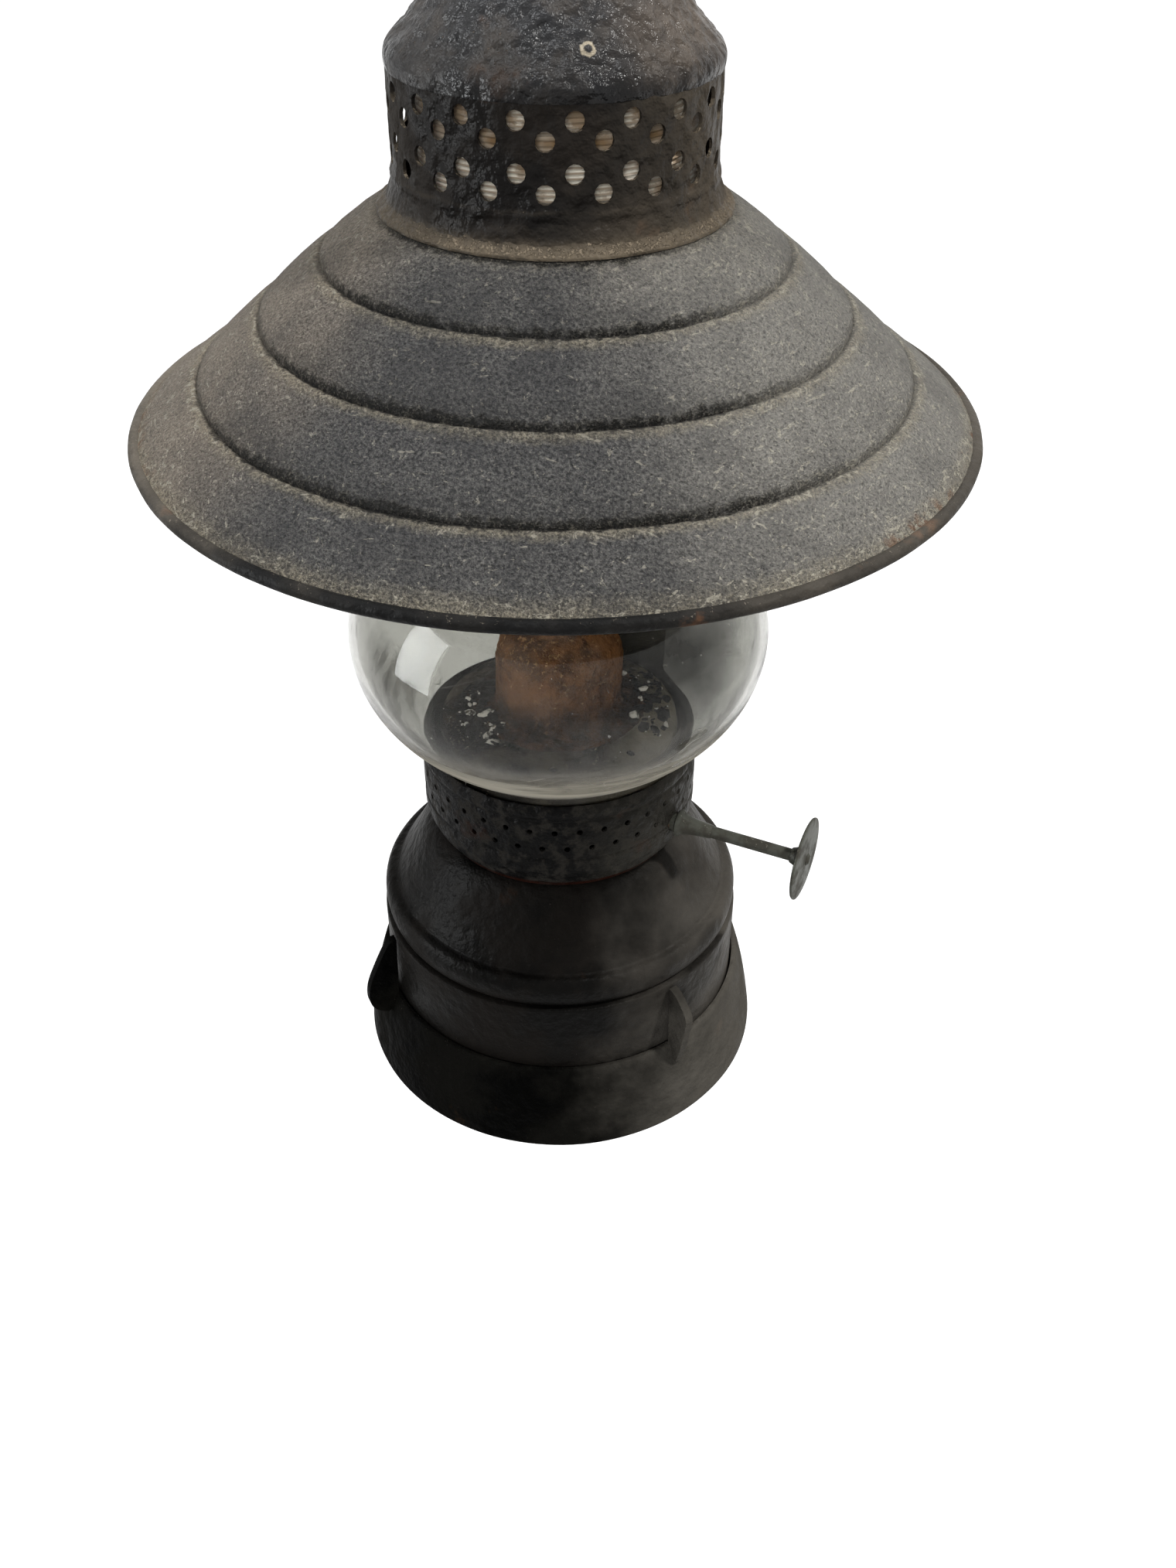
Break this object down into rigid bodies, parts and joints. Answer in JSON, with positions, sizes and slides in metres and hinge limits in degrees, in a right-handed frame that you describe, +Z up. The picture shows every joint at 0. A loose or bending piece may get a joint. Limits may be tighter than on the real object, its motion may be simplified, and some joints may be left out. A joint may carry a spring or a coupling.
{
  "type": "wall oil lamp",
  "caption": "Wall oil lamp with a flat-wick burner, glass globe, stepped metal shade with a pierced crown, and an iron strap bracket.",
  "frame": {"origin": "centre of the wall plate's back face", "axes": "+Y points into the wall, +Z up along the lamp's axis, -Y towards the front of the lamp"},
  "size_m": [0.24, 0.25, 0.412],
  "materials": {
    "bracket_iron": "rough black paint with rust",
    "holder_iron": "black, worn",
    "font_metal": "dark satin",
    "aged_brass": "tarnished, dull",
    "oxidised_brass": "oxidised grey green",
    "rusted_steel": "rusted, sooty",
    "wick_cotton": "woven cotton, charred tip",
    "clear_glass": "clear, dusty",
    "shade_steel": "blue-grey paint, dusty",
    "crown_steel": "crusted black with rust",
    "liner_tin": "dull tinplate"
  },
  "bodies": {
    "bracket": {"bracket_strap": "bracket_iron", "bracket_brace": "bracket_iron", "brace_rivet_front": "bracket_iron", "brace_rivet_rear": "bracket_iron", "holder_rivet_1": "bracket_iron", "holder_rivet_2": "bracket_iron", "holder_rivet_3": "bracket_iron", "holder": "holder_iron"},
    "font": {"font_drum": "font_metal", "font_shoulder": "font_metal", "font_bottom": "font_metal", "font_collar": "aged_brass"},
    "burner": {"burner_drum": "aged_brass", "burner_base": "aged_brass", "gallery_pan": "aged_brass", "gallery_spring_1": "aged_brass", "gallery_spring_2": "aged_brass", "gallery_spring_3": "aged_brass", "gallery_spring_4": "aged_brass", "wick_tube": "aged_brass", "burner_cone": "rusted_steel", "shaft_bush": "oxidised_brass", "shaft_bearing": "aged_brass"},
    "knob": {"raiser_shaft": "oxidised_brass", "sprocket_1": "aged_brass", "sprocket_2": "aged_brass", "knob_wheel": "oxidised_brass"},
    "wick": {"wick": "wick_cotton"},
    "globe": {"globe": "clear_glass"},
    "hood": {"shade": "shade_steel", "rim_wire": "shade_steel", "crown": "crown_steel", "dome": "crown_steel", "draft_tube": "liner_tin", "crown_floor": "crown_steel", "seat_ring": "liner_tin"}
  },
  "joints": [
    {"name": "lamp_lift", "type": "slide", "parent": "bracket", "child": "font", "axis": [0, 0, 1], "range_m": [0, 0.045]},
    {"name": "burner_turn", "type": "hinge", "parent": "font", "child": "burner", "pos_m": [0, -0.13, 0.05], "axis": [0, 0, 1], "range_deg": [0, 360]},
    {"name": "globe_lift", "type": "slide", "parent": "burner", "child": "globe", "axis": [0, 0, 1], "range_m": [0, 0.06]},
    {"name": "hood_lift", "type": "slide", "parent": "globe", "child": "hood", "axis": [0, 0, 1], "range_m": [0, 0.04]},
    {"name": "knob_turn", "type": "hinge", "parent": "burner", "child": "knob", "pos_m": [-0.00134, -0.13687, 0.0549], "axis": [0.9816, -0.1908, 0], "range_deg": [-60, 125]},
    {"name": "wick_slide", "type": "slide", "parent": "burner", "child": "wick", "axis": [0, 0, 1], "range_m": [-0.006, 0.012]}
  ],
  "couplings": [
    {"joint": "wick_slide", "follows": "knob_turn", "m_per_rad": 0.0054}
  ]
}
